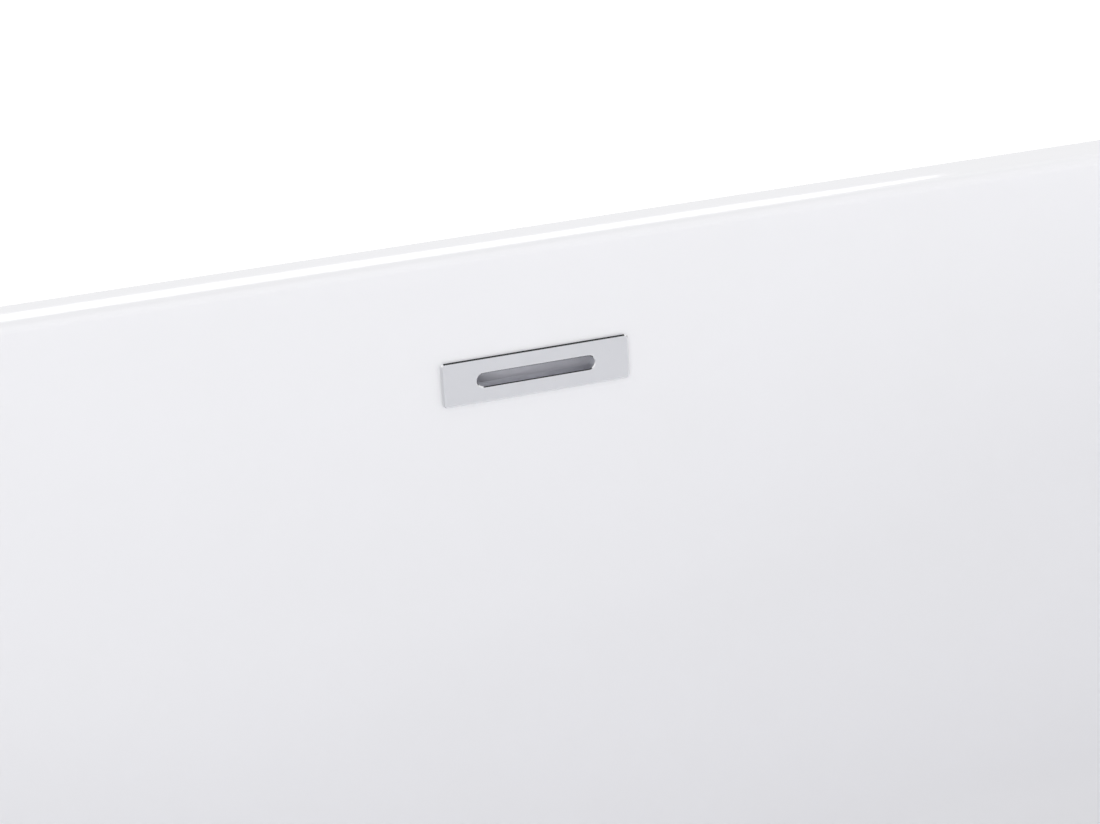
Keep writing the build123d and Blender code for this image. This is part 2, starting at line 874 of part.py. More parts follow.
# Waste flange: dished top, throat, threaded tail and the spider with its hub
flange_z = waste_z + waste_seal_thick
tail_z = flange_z - tail_long
spider_z = flange_z - spider_drop - spider_high

with BuildPart() as waste_flange:
    with BuildSketch(Plane.XZ):
        with BuildLine():
            Polyline(
                (throat_radius, tail_z),
                (tail_radius, tail_z),
                (tail_radius, flange_z),
                (flange_radius, flange_z),
                (flange_radius, flange_z + flange_edge),
                (flange_radius - flange_thick, flange_z + flange_thick),
                (flange_seat_radius, flange_z + flange_edge),
                (throat_radius + flange_thick / 2, flange_z + flange_edge / 2),
                (throat_radius, flange_z - flange_edge),
                close=True,
            )
        make_face()
    revolve(axis=Axis.Z)
    with BuildSketch(Plane.XY.offset(spider_z)):
        Circle(spider_hub)
        with PolarLocations((throat_radius + tail_radius) / 4, spider_arm_count):
            Rectangle((throat_radius + tail_radius) / 2, spider_arm)
        Circle(sleeve_radius, mode=Mode.SUBTRACT)
    extrude(amount=spider_high)
keep(waste_flange, "waste_flange")

# Seals above and below the floor
with BuildPart() as waste_flange_gasket:
    with BuildSketch(Plane.XY.offset(waste_z)):
        Circle(flange_radius - waste_seal_inset)
        Circle(tail_radius + hole_clear, mode=Mode.SUBTRACT)
    extrude(amount=waste_seal_thick)
keep(waste_flange_gasket, "waste_flange_gasket")

body_seal_z = backing_z - body_seal_thick

with BuildPart() as waste_body_gasket:
    with BuildSketch(Plane.XY.offset(body_seal_z)):
        Circle(body_rim_radius - waste_seal_inset)
        Circle(tail_radius + hole_clear, mode=Mode.SUBTRACT)
    extrude(amount=body_seal_thick)
keep(waste_body_gasket, "waste_body_gasket")

# Click sleeve in the spider, closed at its bottom but for a small drain hole, and the
# ring in its top that keeps the piston in
sleeve_top = spider_z + spider_high
sleeve_z = sleeve_top - sleeve_long
sleeve_bore = sleeve_radius - sleeve_wall
ring_z = sleeve_top - click_ring

with BuildPart() as click_cartridge:
    with Locations((0, 0, sleeve_z)):
        Cylinder(sleeve_radius, sleeve_long, align=from_base)
    with Locations((0, 0, sleeve_z + sleeve_floor)):
        Cylinder(sleeve_bore, sleeve_long, align=from_base, mode=Mode.SUBTRACT)
    with Locations((0, 0, sleeve_z)):
        Cylinder(sleeve_drain, sleeve_floor, align=from_base, mode=Mode.SUBTRACT)
keep(click_cartridge, "click_cartridge")

with BuildPart() as click_collar:
    with BuildSketch(Plane.XY.offset(ring_z)):
        Circle(sleeve_bore)
        Circle(stem_radius + running_gap, mode=Mode.SUBTRACT)
    extrude(amount=click_ring)
keep(click_collar, "click_collar")

# Plug: domed cap, seal ring under it, stem whose piston slides in the sleeve
seal_seat_z = flange_z + flange_edge
cap_z = flange_z + flange_thick + plug_over_flange
piston_z = ring_z - plug_lift - spring_clear - piston_thick

with BuildPart() as plug_cap:
    with BuildSketch(Plane.XZ):
        with BuildLine():
            Polyline(
                (plug_radius, cap_z + plug_edge), (plug_radius, cap_z), (0, cap_z), (0, cap_z + plug_dome)
            )
            ThreePointArc(
                (0, cap_z + plug_dome),
                (plug_radius / 2, cap_z + plug_edge + (plug_dome - plug_edge) * dome_share),
                (plug_radius, cap_z + plug_edge),
            )
        make_face()
    revolve(axis=Axis.Z)
    fillet(plug_cap.edges().filter_by(lambda edge: edge.is_closed).sort_by(Axis.Z)[-1], plug_round)
    with Locations((0, 0, cap_z)):
        Cylinder(stem_radius, plug_edge, align=from_base, mode=Mode.SUBTRACT)
keep(plug_cap, "plug_cap")

with BuildPart() as plug_stem:
    with Locations((0, 0, piston_z)):
        Cylinder(sleeve_bore - running_gap, piston_thick, align=from_base)
        Cylinder(stem_radius, cap_z + plug_edge - piston_z, align=from_base)
keep(plug_stem, "plug_stem")

with BuildPart() as plug_seal:
    with BuildSketch(Plane.XZ):
        with BuildLine():
            Polyline(
                (plug_seal_inner, cap_z),
                (plug_seal_inner, cap_z - plug_seal_thick / 2),
                (plug_seal_bend, cap_z - plug_seal_thick / 2),
                (plug_seal_radius, seal_seat_z),
                (plug_seal_radius, cap_z),
                close=True,
            )
        make_face()
    revolve(axis=Axis.Z)
keep(plug_seal, "plug_seal")

# Spring under the piston
spring_low = sleeve_z + sleeve_floor + spring_wire / 2 + spring_clear
spring_long = piston_z - spring_wire / 2 - spring_clear - spring_low
spring_pitch = spring_long / spring_turns

with BuildPart() as click_spring:
    with BuildLine() as coil:
        Helix(spring_pitch, spring_long, spring_radius, center=(0, 0, spring_low))
    with BuildSketch(Plane(coil.line @ 0, z_dir=coil.line % 0)):
        Circle(spring_wire / 2)
    sweep(path=coil.line, is_frenet=True)
keep(click_spring, "click_spring")


def across_x(x, z):
    """Plane square to X at x and height z."""
    return Plane((x, 0, z), x_dir=(0, 1, 0), z_dir=(1, 0, 0))


def across_y(y, z, x=0, facing=1):
    """Plane square to Y at y, x and height z."""
    return Plane((x, y, z), x_dir=(1, 0, 0), z_dir=(0, facing, 0))


# Waste body: rim under the floor, threaded barrel, neck and the overflow's inlet
rim_z = body_seal_z - body_rim_thick
barrel_z = rim_z - barrel_long
barrel_bore = tail_radius + tail_gap

with BuildPart() as waste_body:
    with Locations((0, 0, rim_z)):
        Cylinder(body_rim_radius, body_rim_thick, align=from_base)
    with Locations((0, 0, barrel_z)):
        Cylinder(barrel_bore + barrel_wall, barrel_long, align=from_base)
    with Locations((0, 0, waste_thread_top)):
        Cylinder(neck_radius, barrel_z - waste_thread_top, align=from_base)
    with Locations((0, 0, waste_bottom)):
        Cylinder(waste_thread_radius, waste_thread_top - waste_bottom, align=from_base)
    with BuildSketch(across_y(0, pipe_level)):
        Circle(inlet_radius)
    extrude(amount=inlet_end)
    with Locations((0, 0, waste_bottom)):
        Cylinder(waste_bore, rim_z - waste_bottom, align=from_base, mode=Mode.SUBTRACT)
    with Locations((0, 0, tail_z)):
        Cylinder(barrel_bore, body_seal_z - tail_z, align=from_base, mode=Mode.SUBTRACT)
    with BuildSketch(across_y(0, pipe_level)):
        Circle(duct_radius)
    extrude(amount=inlet_end, mode=Mode.SUBTRACT)
    with BuildSketch(across_y(pipe_end - over, pipe_level)):
        Circle(socket_bore)
    extrude(amount=inlet_end, mode=Mode.SUBTRACT)
keep(waste_body, "waste_body")

# Nut and seal that hold the overflow pipe in the inlet
inlet_seal_end = inlet_end + inlet_seal_long
inlet_nut_end = inlet_seal_end + inlet_nut_lip

with BuildPart() as overflow_pipe_seal:
    with BuildSketch(across_y(inlet_end, pipe_level)):
        Circle(inlet_radius - pipe_fit)
        Circle(pipe_radius + running_gap, mode=Mode.SUBTRACT)
    extrude(amount=inlet_seal_long)
keep(overflow_pipe_seal, "overflow_pipe_seal")

with BuildPart() as overflow_pipe_nut:
    with BuildSketch(across_y(inlet_nut_end, pipe_level, facing=-1)):
        Circle(inlet_nut_radius)
        with PolarLocations(inlet_nut_radius, small_nut_flute_count):
            Circle(small_flute, mode=Mode.SUBTRACT)
    extrude(amount=inlet_nut_long)
    with BuildSketch(across_y(inlet_seal_end, pipe_level, facing=-1)):
        Circle(inlet_radius + tail_gap)
    extrude(amount=inlet_nut_long, mode=Mode.SUBTRACT)
    with BuildSketch(across_y(inlet_nut_end, pipe_level, facing=-1)):
        Circle(socket_bore)
    extrude(amount=inlet_nut_lip, mode=Mode.SUBTRACT)
keep(overflow_pipe_nut, "overflow_pipe_nut")

# Trap: union nut and seal, bowl with dip tube and arm, screwed bottom with its seal
trap_seal_z = waste_bottom - trap_seal_thick
trap_flange_z = trap_seal_z - trap_flange_thick
trap_nut_z = trap_flange_z - trap_nut_lip
dip_bore = dip_radius - dip_wall

with BuildPart() as trap_inlet_seal:
    with BuildSketch(Plane.XY.offset(trap_seal_z)):
        Circle(trap_flange_radius)
        Circle(waste_bore, mode=Mode.SUBTRACT)
    extrude(amount=trap_seal_thick)
keep(trap_inlet_seal, "trap_inlet_seal")

with BuildPart() as trap_inlet_nut:
    with BuildSketch(Plane.XY.offset(trap_nut_z)):
        Circle(nut_radius)
        with PolarLocations(nut_radius, nut_flute_count):
            Circle(flute, mode=Mode.SUBTRACT)
    extrude(amount=trap_nut_top - trap_nut_z)
    with Locations((0, 0, trap_flange_z)):
        Cylinder(waste_thread_radius + tail_gap, trap_nut_top, align=from_base, mode=Mode.SUBTRACT)
    with Locations((0, 0, trap_nut_z)):
        Cylinder(dip_radius + pipe_fit, trap_nut_lip, align=from_base, mode=Mode.SUBTRACT)
keep(trap_inlet_nut, "trap_inlet_nut")

arm_plane = across_x(arm_start, arm_level)
arm_long = arm_end - arm_start
bowl_in = bowl_radius - bowl_wall
arm_bore = outlet_radius - outlet_wall

with BuildPart() as trap_bowl:
    with Locations((0, 0, bowl_bottom)):
        Cylinder(bowl_radius, bowl_top - bowl_bottom, align=from_base)
    fillet(trap_bowl.faces().sort_by(Axis.Z)[-1].edges(), bowl_round)
    with BuildSketch(arm_plane):
        Circle(outlet_radius)
    extrude(amount=arm_long)
    with Locations((0, 0, bowl_bottom)):
        Cylinder(bowl_in, bowl_top - bowl_bottom - bowl_wall, align=from_base, mode=Mode.SUBTRACT)
    with BuildSketch(arm_plane):
        Circle(arm_bore)
    extrude(amount=arm_long, mode=Mode.SUBTRACT)
    with Locations((0, 0, dip_end)):
        Cylinder(dip_radius, trap_seal_z - dip_end, align=from_base)
    with Locations((0, 0, trap_flange_z)):
        Cylinder(trap_flange_radius, trap_flange_thick, align=from_base)
    with Locations((0, 0, dip_end)):
        Cylinder(dip_bore, trap_seal_z - dip_end, align=from_base, mode=Mode.SUBTRACT)
keep(trap_bowl, "trap_bowl")

cap_seal_z = bowl_bottom - cap_seal_thick
cap_radius = bowl_radius + cap_wall + tail_gap

with BuildPart() as trap_cap_seal:
    with BuildSketch(Plane.XY.offset(cap_seal_z)):
        Circle(bowl_radius - running_gap)
        Circle(bowl_in, mode=Mode.SUBTRACT)
    extrude(amount=cap_seal_thick)
keep(trap_cap_seal, "trap_cap_seal")

cap_floor_z = cap_seal_z - cap_thick
with BuildPart() as trap_cleaning_cap:
    with BuildSketch(Plane.XY.offset(cap_floor_z)):
        Circle(cap_radius)
        with PolarLocations(cap_radius, cap_flute_count):
            Circle(small_flute, mode=Mode.SUBTRACT)
    extrude(amount=cap_top - cap_floor_z)
    with Locations((0, 0, cap_seal_z)):
        Cylinder(bowl_radius + tail_gap, bowl_top, align=from_base, mode=Mode.SUBTRACT)
keep(trap_cleaning_cap, "trap_cleaning_cap")

# Outlet joint: seal and union nut between the trap's arm and the bend
bend_start = arm_end + outlet_seal_thick

with BuildPart() as trap_outlet_seal:
    with BuildSketch(across_x(arm_end, arm_level)):
        Circle(outlet_radius)
        Circle(arm_bore, mode=Mode.SUBTRACT)
    extrude(amount=outlet_seal_thick)
keep(trap_outlet_seal, "trap_outlet_seal")

with BuildPart() as trap_outlet_nut:
    with BuildSketch(across_x(outlet_nut_start, arm_level)):
        Circle(outlet_nut_radius)
        with PolarLocations(outlet_nut_radius, nut_flute_count):
            Circle(flute, mode=Mode.SUBTRACT)
    extrude(amount=outlet_nut_end - outlet_nut_start)
    with BuildSketch(across_x(outlet_nut_start, arm_level)):
        Circle(outlet_radius + tail_gap)
    extrude(amount=outlet_nut_end - outlet_nut_start, mode=Mode.SUBTRACT)
keep(trap_outlet_nut, "trap_outlet_nut")

# Rising bend: up to the level that keeps water in the trap, then round to the wall
with BuildPart() as outlet_bend:
    with BuildLine() as bend_path:
        FilletPolyline(
            (bend_start, 0, arm_level),
            (rise_start, 0, arm_level),
            (rise_end, 0, outlet_level),
            (outlet_place, 0, outlet_level),
            (outlet_place, bend_end, outlet_level),
            radius=rise_round,
        )
    with BuildSketch(across_x(bend_start, arm_level)):
        Circle(outlet_radius)
        Circle(arm_bore, mode=Mode.SUBTRACT)
    sweep(path=bend_path.line)
keep(outlet_bend, "outlet_bend")

# Coupling sleeve and the straight pipe that ends short of the wall, eased a little where
# it sits in the sleeve
outlet_line = across_y(bend_end, outlet_level, outlet_place)

with BuildPart() as outlet_coupling:
    with BuildSketch(outlet_line):
        Circle(outlet_radius + coupling_fit + coupling_wall)
        Circle(outlet_radius + coupling_fit, mode=Mode.SUBTRACT)
    extrude(amount=coupling_long / 2, both=True)
keep(outlet_coupling, "outlet_coupling")

sleeve_end = bend_end + coupling_long / 2
outlet_tip = wall_y - outlet_wall_gap

with BuildPart() as outlet_pipe:
    with BuildSketch(outlet_line.offset(pipe_gap)):
        Circle(outlet_radius - spigot_ease)
    extrude(amount=sleeve_end - bend_end - pipe_gap)
    with BuildSketch(across_y(sleeve_end, outlet_level, outlet_place)):
        Circle(outlet_radius)
    extrude(amount=outlet_tip - sleeve_end)
    with BuildSketch(outlet_line):
        Circle(arm_bore)
    extrude(amount=outlet_tip - bend_end, mode=Mode.SUBTRACT)
keep(outlet_pipe, "outlet_pipe")
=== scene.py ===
from math import atan, cos, pi, radians, sin, tan

import bmesh
import bpy
from mathutils import Matrix, Vector


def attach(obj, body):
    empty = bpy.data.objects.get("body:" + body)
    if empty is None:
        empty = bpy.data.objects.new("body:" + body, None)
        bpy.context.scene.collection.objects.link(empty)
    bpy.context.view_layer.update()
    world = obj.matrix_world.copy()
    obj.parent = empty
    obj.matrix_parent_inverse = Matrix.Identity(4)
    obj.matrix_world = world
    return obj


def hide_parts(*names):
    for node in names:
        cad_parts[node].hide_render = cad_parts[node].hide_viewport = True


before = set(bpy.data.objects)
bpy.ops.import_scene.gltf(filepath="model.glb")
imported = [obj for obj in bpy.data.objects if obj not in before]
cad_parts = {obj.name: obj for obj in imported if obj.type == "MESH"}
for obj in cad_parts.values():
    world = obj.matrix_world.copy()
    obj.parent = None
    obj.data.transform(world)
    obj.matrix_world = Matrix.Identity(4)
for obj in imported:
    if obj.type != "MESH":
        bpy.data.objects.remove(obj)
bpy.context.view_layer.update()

# Basin: one 5 mm sheet of white acrylic, heated and drawn by vacuum into a polished
# mould. Its rim is straight along the wall and turns down as a narrow lip, and its
# walls lean outwards and roll into a floor that falls a little to the waste.
half_length, half_width, rim_top = 0.85, 0.40, 0.58
rim_width, rim_round, lip_low, sheet = 0.024, 0.006, 0.568, 0.005
end_lean, long_lean = radians(26), radians(9.2)
floor_top, waste_seat, floor_round = 0.150, 0.146, 0.090
wall_corners, room_corners = (0.160, 0.120), (0.356, 0.240)
rim_wall_corner, rim_room_corner = 0.012, 0.380
level_half, level_corner = 0.050, 0.049
fall_half, fall_corners = (0.5387, 0.21265), (0.060, 0.120)
hole_radius, hole_corner = 0.0245, 0.02449
corner_steps, side_steps, round_steps, fall_steps = 24, 20, 8, 8


def outline(half_x, rear, front, wall_radius, room_radius):
    """Points and outward directions round a plan, square at the wall and rounder at the room."""
    corners = (
        (half_x - wall_radius, rear - wall_radius, wall_radius),
        (wall_radius - half_x, rear - wall_radius, wall_radius),
        (room_radius - half_x, front + room_radius, room_radius),
        (half_x - room_radius, front + room_radius, room_radius),
    )
    arcs = []
    for quarter, (x, y, radius) in enumerate(corners):
        turns = [pi / 2 * (quarter + step / corner_steps) for step in range(corner_steps + 1)]
        ways = [Vector((cos(turn), sin(turn))) for turn in turns]
        arcs.append([(Vector((x, y)) + way * radius, way) for way in ways])
    ring = []
    for quarter, arc in enumerate(arcs):
        start, way = arc[-1]
        end = arcs[(quarter + 1) % 4][0][0]
        ring += arc + [(start.lerp(end, step / side_steps), way) for step in range(1, side_steps)]
    return ring


def basin_plan(z, grow):
    """Plan of the basin's wall at height z, moved out square to the wall by grow."""
    down = rim_top - z
    share = down / (rim_top - floor_top)
    half_x = half_length - rim_width - down * tan(end_lean) + grow / cos(end_lean)
    half_y = half_width - rim_width - down * tan(long_lean) + grow / cos(long_lean)
    wall_radius, room_radius = (
        top + (low - top) * share + grow for top, low in (wall_corners, room_corners)
    )
    return outline(half_x, half_y, -half_y, wall_radius, room_radius)


def level(plan, z, inset=0):
    """A ring of points at height z, moved in from a plan."""
    return [(point - way * inset).to_3d() + Vector((0, 0, z)) for point, way in plan]


def basin_side(grow, low, top, roll_steps=14, wall_steps=10):
    """Rings of the basin's wall from its floor at height low, through the rounding, up to top."""
    radius = floor_round + grow
    foot_plan, head_plan = basin_plan(low, grow), basin_plan(rim_top, grow)
    columns = []
    for (foot, way), (head, _) in zip(foot_plan, head_plan):
        rate = (head - foot).dot(way) / (rim_top - low)
        lean = atan(rate)
        reach = radius * tan((pi / 2 - lean) / 2)
        column = []
        for step in range(roll_steps + 1):
            turn = step / roll_steps * (pi / 2 - lean) - pi / 2
            rise = radius * (1 + sin(turn))
            wall = foot.lerp(head, rise / (rim_top - low))
            place = wall + way * (radius * cos(turn) - reach - rise * rate)
            column.append(place.to_3d() + Vector((0, 0, low + rise)))
        start = column[-1]
        end = foot.lerp(head, (top - low) / (rim_top - low)).to_3d() + Vector((0, 0, top))
        column += [start.lerp(end, step / wall_steps) for step in range(1, wall_steps + 1)]
        columns.append(column)
    return [list(ring) for ring in zip(*columns)]


def round_over(plan, z, radius, steps, lean_of):
    """Rings over a rounded top edge at height z, from the wall below it to the flat."""
    rings = []
    for step in range(steps + 1):
        ring = []
        for index, (point, way) in enumerate(plan):
            lean = lean_of(index)
            turn = pi - lean - step / steps * (pi / 2 - lean)
            out = radius * (tan((pi / 2 - lean) / 2) + cos(turn))
            ring.append((point + way * out).to_3d() + Vector((0, 0, z - radius * (1 - sin(turn)))))
        rings.append(ring)
    return rings


def skin(name, rings, closed=True):
    """A smooth mesh of quads over rings of points. Closed rings join end to start."""
    mesh = bpy.data.meshes.new(name)
    across = len(rings[0])
    faces = []
    for ring in range(len(rings) - 1):
        for point in range(across if closed else across - 1):
            after = (point + 1) % across
            low, high = ring * across, (ring + 1) * across
            faces.append((low + point, low + after, high + after, high + point))
    mesh.from_pydata([tuple(point) for ring in rings for point in ring], [], faces)
    piece = bpy.data.objects.new(name, mesh)
    bpy.context.scene.collection.objects.link(piece)
    return piece


def tidy(piece, angle=35):
    """Welds doubled points, turns the faces out, and shades smooth but for edges over angle."""
    shape = bmesh.new()
    shape.from_mesh(piece.data)
    bmesh.ops.remove_doubles(shape, verts=shape.verts, dist=1e-6)
    bmesh.ops.recalc_face_normals(shape, faces=shape.faces)
    for face in shape.faces:
        face.smooth = True
    shape.to_mesh(piece.data)
    shape.free()
    piece.data.set_sharp_from_angle(angle=radians(angle))
    return piece


def cut(piece, cutter):
    """Cuts the cutter's shape out of the piece and removes the cutter."""
    knife = piece.modifiers.new("cut", "BOOLEAN")
    knife.operation, knife.solver, knife.object = "DIFFERENCE", "EXACT", cutter
    bpy.context.view_layer.update()
    shown = piece.evaluated_get(bpy.context.evaluated_depsgraph_get())
    cut_mesh = bpy.data.meshes.new_from_object(shown)
    piece.modifiers.clear()
    piece.data = cut_mesh
    bpy.data.objects.remove(cutter)


def prism(name, points, matrix, near, far):
    """A solid between two depths along a matrix's Z, with the given outline in its XY."""
    shape = bmesh.new()
    ends = [
        [shape.verts.new(matrix @ Vector((x, y, depth))) for x, y in points]
        for depth in (near, far)
    ]
    count = len(points)
    for ring in ends:
        shape.faces.new(ring)
    for point in range(count):
        after = (point + 1) % count
        shape.faces.new((ends[0][point], ends[0][after], ends[1][after], ends[1][point]))
    bmesh.ops.recalc_face_normals(shape, faces=shape.faces)
    mesh = bpy.data.meshes.new(name)
    shape.to_mesh(mesh)
    shape.free()
    piece = bpy.data.objects.new(name, mesh)
    bpy.context.scene.collection.objects.link(piece)
    return piece


def slot_points(long, high, steps=16):
    """Outline of a slot with round ends."""
    radius = high / 2
    turns = [pi * step / steps - pi / 2 for step in range(steps + 1)]
    right = [(long / 2 - radius + radius * cos(turn), radius * sin(turn)) for turn in turns]
    return right + [(-x, -y) for x, y in right]


def colour(code):
    """Linear colour of an sRGB hex code."""
    parts = [int(code[start : start + 2], 16) / 255 for start in (1, 3, 5)]
    return [
        part / 12.92 if part <= 0.04045 else ((part + 0.055) / 1.055) ** 2.4 for part in parts
    ] + [1]


def new_material(name):
    """An empty material and its node tree."""
    material = bpy.data.materials.new(name)
    material.use_nodes = True
    material.node_tree.nodes.clear()
    return material, material.node_tree


def add(tree, kind, sockets=(), **settings):
    """Adds a node with its settings. Each socket takes a value, or the output it is linked to."""
    node = tree.nodes.new("ShaderNode" + kind)
    for name, value in settings.items():
        setattr(node, name, value)
    for name, value in dict(sockets).items():
        if isinstance(value, bpy.types.NodeSocket):
            tree.links.new(value, node.inputs[name])
        else:
            node.inputs[name].default_value = value
    return node


# Sanitary acrylic drawn over a polished mould: a deep wet gloss with a faint long swell
# from the forming, about 120 mm across, and an orange peel of about 5 mm that only
# softens reflections. The pigment drifts by a shade over a hand's width.
acrylic, tree = new_material("sanitary_acrylic_vacuum_formed")
place = add(tree, "TexCoord").outputs["Object"]
drift = add(tree, "TexNoise", {"Vector": place, "Scale": 1 / 0.09, "Detail": 3.0})
pigment = add(
    tree,
    "Mix",
    {"Factor": drift.outputs["Fac"], 6: colour("#f2f2f5"), 7: colour("#f0f0f2")},
    data_type="RGBA",
)
swell = add(tree, "TexNoise", {"Vector": place, "Scale": 1 / 0.12, "Detail": 0.0})
peel = add(tree, "TexNoise", {"Vector": place, "Scale": 1 / 0.005, "Detail": 1.0})
long_bump = add(tree, "Bump", {"Height": swell.outputs["Fac"], "Distance": 0.0004})
fine_bump = add(
    tree,
    "Bump",
    {"Height": peel.outputs["Fac"], "Distance": 0.000004, "Normal": long_bump.outputs["Normal"]},
)
handling = add(
    tree,
    "MapRange",
    {"Value": drift.outputs["Fac"], "To Min": 0.05, "To Max": 0.09},
)
shader = add(
    tree,
    "BsdfPrincipled",
    {
        "Base Color": pigment.outputs[2],
        "Roughness": handling.outputs["Result"],
        "IOR": 1.49,
        "Normal": fine_bump.outputs["Normal"],
    },
)
add(tree, "OutputMaterial", {"Surface": shader.outputs["BSDF"]})

head_plan, low_plan = basin_plan(rim_top, 0), basin_plan(floor_top, 0)
wall_leans = [
    atan((head - foot).dot(way) / (rim_top - floor_top))
    for (foot, way), (head, _) in zip(low_plan, head_plan)
]
inner_rim = round_over(head_plan, rim_top, rim_round, round_steps, lambda index: wall_leans[index])
rim_plan = outline(half_length, half_width, -half_width, rim_wall_corner, rim_room_corner)
pocket_plan = outline(
    half_length - sheet,
    half_width - sheet,
    sheet - half_width,
    rim_wall_corner - sheet,
    rim_room_corner - sheet,
)
waste_plan = outline(hole_radius, hole_radius, -hole_radius, hole_corner, hole_corner)
disc_plan = outline(level_half, level_half, -level_half, level_corner, level_corner)
fall_plan = outline(fall_half[0], fall_half[1], -fall_half[1], *fall_corners)

rings = [level(waste_plan, waste_seat), level(disc_plan, waste_seat)]
disc, fall = rings[-1], level(fall_plan, floor_top)
rings += [
    [inner.lerp(outer, step / fall_steps) for inner, outer in zip(disc, fall)]
    for step in range(1, fall_steps + 1)
]
rings += basin_side(0, floor_top, rim_top - 2 * rim_round)
rings += inner_rim
for turn in [pi / 2 * step / round_steps for step in range(round_steps + 1)]:
    inset = rim_round * (1 - sin(turn))
    rings.append(level(rim_plan, rim_top - rim_round * (1 - cos(turn)), inset))
rings += [level(rim_plan, lip_low + sheet), level(rim_plan, lip_low), level(pocket_plan, lip_low)]
rings += [level(pocket_plan, rim_top - sheet)]
rings += basin_side(sheet, waste_seat - sheet, rim_top - sheet, roll_steps=8, wall_steps=6)[::-1]
rings += [level(waste_plan, waste_seat - sheet), level(waste_plan, waste_seat)]
basin = tidy(skin("basin", rings))

# The overflow's place on the basin's wall: X along the wall, Y up it, Z out into the basin.
# Its slot and two stud holes are routed through the sheet after the forming.
overflow_height, slot_size, stud_spread, stud_hole_radius = 0.514, (0.067, 0.011), 0.044, 0.0023
cutter_near, cutter_far = 0.004, -0.012
overflow_rear = half_width - rim_width - (rim_top - overflow_height) * tan(long_lean)
overflow_place = Matrix.Translation((0, overflow_rear, overflow_height)) @ Matrix.Rotation(
    pi / 2 - long_lean, 4, "X"
)
cut(basin, prism("cutter", slot_points(*slot_size), overflow_place, cutter_near, cutter_far))
for side in (-1, 1):
    stud_hole = [
        (side * stud_spread + stud_hole_radius * cos(turn), stud_hole_radius * sin(turn))
        for turn in (pi * step / 12 for step in range(24))
    ]
    cut(basin, prism("cutter", stud_hole, overflow_place, cutter_near, cutter_far))
basin.data.materials.append(acrylic)
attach(basin, "tub")
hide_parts("basin_shell")

# Reinforcing layer: chopped glass strands sprayed on the basin's back with polyester
# resin and rolled down by hand, about 4 mm thick. It stops under the rim and stays
# clear of the overflow and the waste.
backing_grow, backing_thick, backing_top = 0.0053, 0.004, 0.545
backing_low = waste_seat - sheet
outer_grow = backing_grow + backing_thick
window_side, window_below, window_above = 0.056, 0.062, 0.022
window_near, window_far = -0.003, -0.014
rings = [level(waste_plan, backing_low), level(waste_plan, backing_low - backing_thick)]
rings += basin_side(outer_grow, backing_low - backing_thick, backing_top, roll_steps=10)
rings += basin_side(backing_grow, backing_low, backing_top, roll_steps=10)[::-1]
rings += [level(waste_plan, backing_low)]
backing = tidy(skin("backing", rings))
window = [
    (-window_side, -window_below),
    (window_side, -window_below),
    (window_side, window_above),
    (-window_side, window_above),
]
cut(backing, prism("cutter", window, overflow_place, window_near, window_far))

# Sprayed fibre in polyester resin: cream resin with a low gloss, and strands 40 mm long
# that lie every way. Real strands are 0.5 mm thick and are drawn 1.5 mm thick to show.
glassfibre, tree = new_material("glassfibre_sprayed_and_rolled")
place = add(tree, "TexCoord").outputs["Object"]
strands = None
for turn in (0.2, 0.8, 1.4, 2.0, 2.7):
    laid = add(
        tree,
        "Mapping",
        {"Vector": place, "Rotation": (turn, 1.7 * turn, turn), "Scale": (0.04, 0.0015, 0.0015)},
        vector_type="TEXTURE",
    )
    layer = add(tree, "TexNoise", {"Vector": laid.outputs["Vector"], "Scale": 1.0, "Detail": 0.0})
    clear = add(
        tree, "MapRange", {"Value": layer.outputs["Fac"], "From Min": 0.58, "From Max": 0.72}
    ).outputs["Result"]
    if strands is None:
        strands = clear
    else:
        both = add(tree, "Math", {0: strands, 1: clear}, operation="MAXIMUM")
        strands = both.outputs["Value"]
pool = add(tree, "TexNoise", {"Vector": place, "Scale": 1 / 0.05, "Detail": 3.0})
resin = add(
    tree,
    "Mix",
    {"Factor": pool.outputs["Fac"], 6: colour("#c3bfa8"), 7: colour("#d2cfbd")},
    data_type="RGBA",
)
laminate = add(
    tree,
    "Mix",
    {"Factor": strands, 6: resin.outputs[2], 7: colour("#e9e7dc")},
    data_type="RGBA",
)
relief = add(tree, "Bump", {"Height": strands, "Distance": 0.0004})
wet = add(tree, "MapRange", {"Value": pool.outputs["Fac"], "To Min": 0.28, "To Max": 0.6})
shader = add(
    tree,
    "BsdfPrincipled",
    {
        "Base Color": laminate.outputs[2],
        "Roughness": wet.outputs["Result"],
        "IOR": 1.54,
        "Normal": relief.outputs["Normal"],
    },
)
add(tree, "OutputMaterial", {"Surface": shader.outputs["BSDF"]})
backing.data.materials.append(glassfibre)
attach(backing, "tub")
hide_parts("glassfibre_backing")

# Board: 18 mm moisture-proof chipboard glued into the laminate under the floor, sawn
# with round corners and a hole for the waste. It spreads the bather's weight.
def dress(node, finish):
    """Gives a CAD node its material."""
    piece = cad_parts[node]
    piece.data.materials.clear()
    piece.data.materials.append(finish)
    return piece


